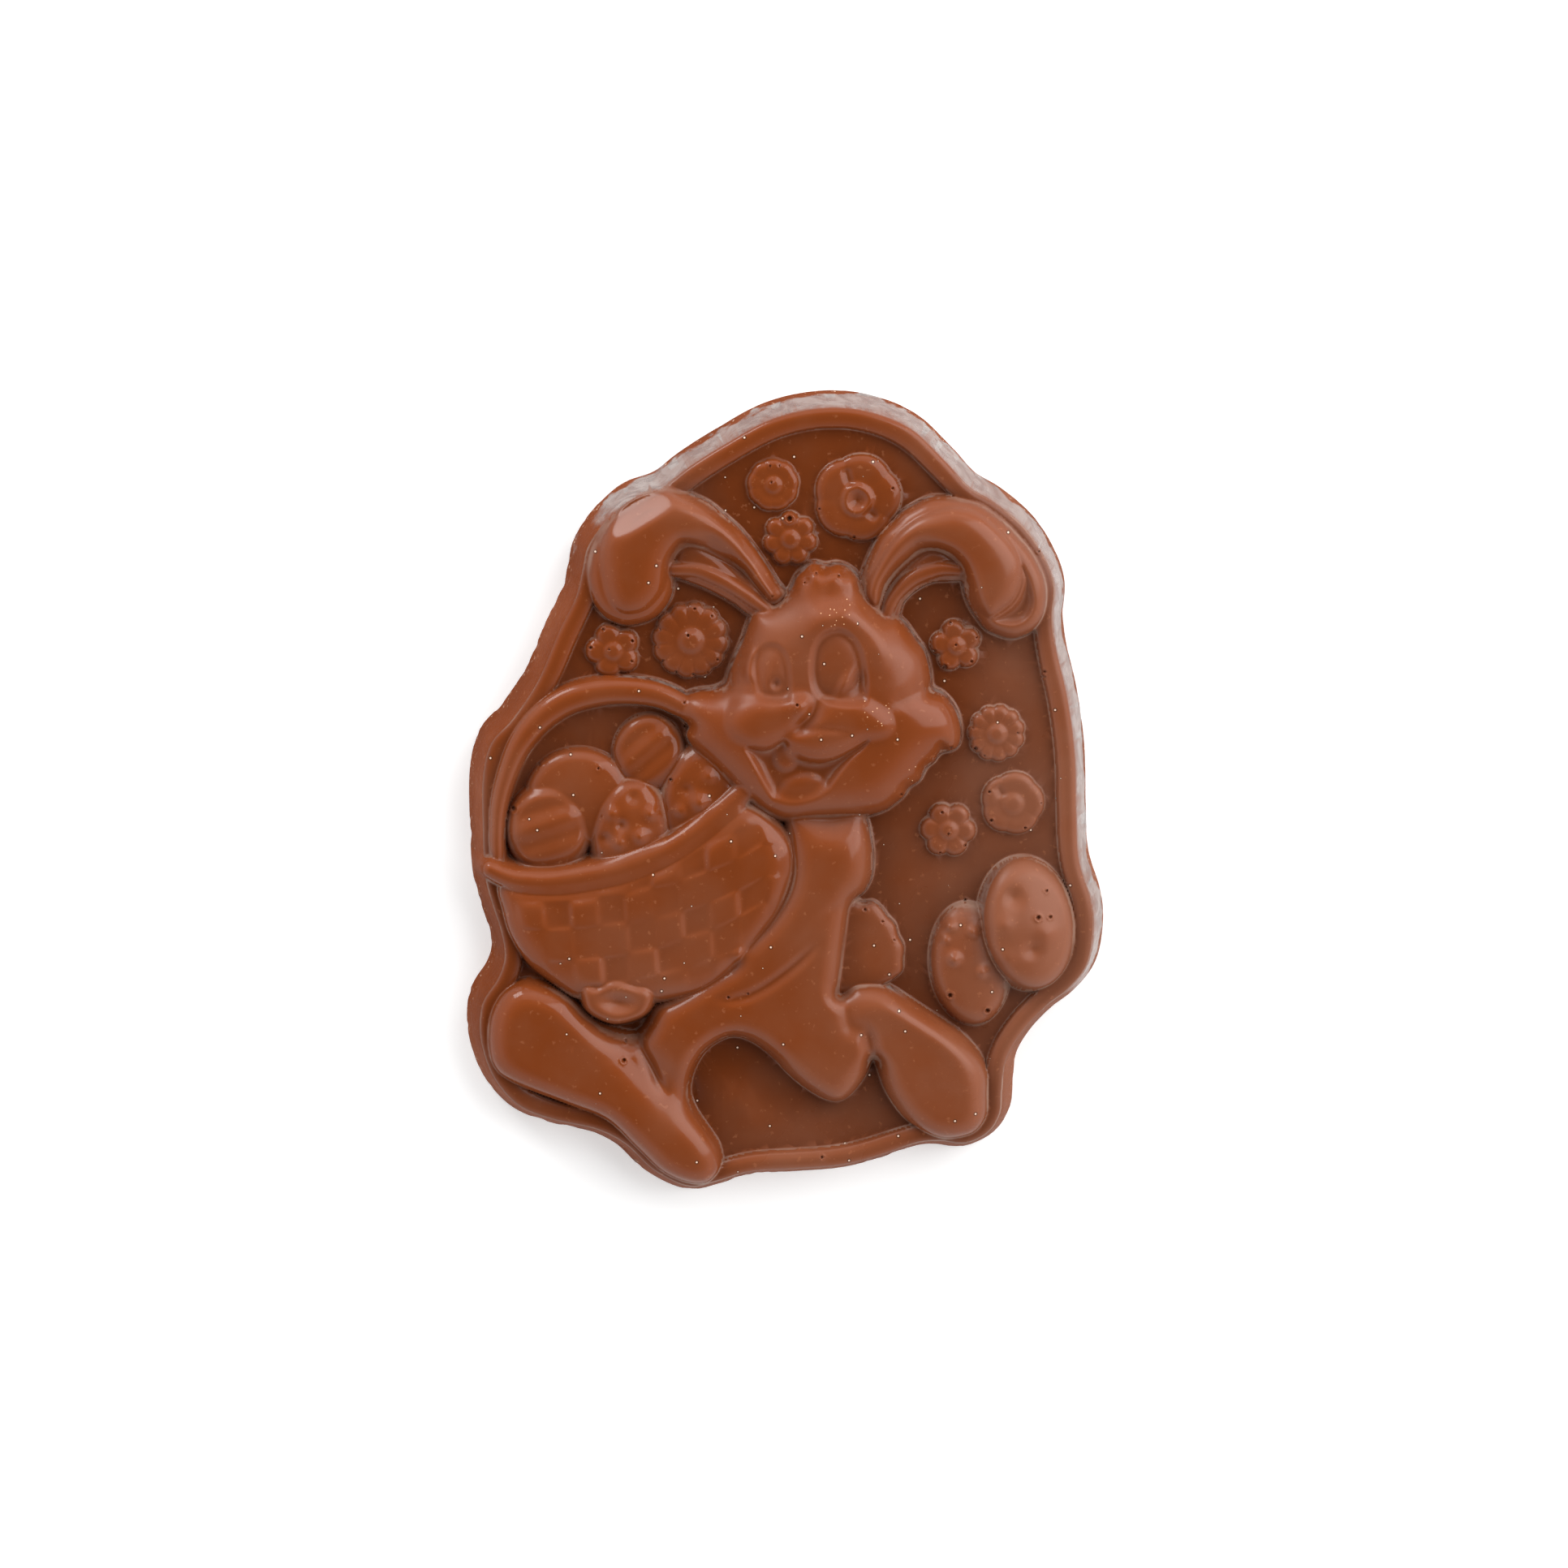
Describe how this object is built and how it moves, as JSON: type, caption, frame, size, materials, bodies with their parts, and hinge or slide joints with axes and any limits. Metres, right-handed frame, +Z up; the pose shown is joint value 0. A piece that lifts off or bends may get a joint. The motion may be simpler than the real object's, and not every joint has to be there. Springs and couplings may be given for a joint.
{
  "type": "chocolate bunny",
  "caption": "Moulded milk chocolate plaque, flat-backed, with a running bunny carrying a basket of eggs in relief.",
  "frame": {"origin": "centre of the footprint's bounding box, on the flat back that it rests on", "axes": "+Y from the feet to the top of the plate, +X to the right as the relief is seen from above, +Z up out of the relief"},
  "size_m": [0.0962, 0.121, 0.0144],
  "materials": {
    "milk_chocolate": "satin milk chocolate, scuffed, with small air-bubble pinholes"
  },
  "bodies": {
    "root": {"chocolate_bunny": "milk_chocolate"}
  },
  "joints": []
}
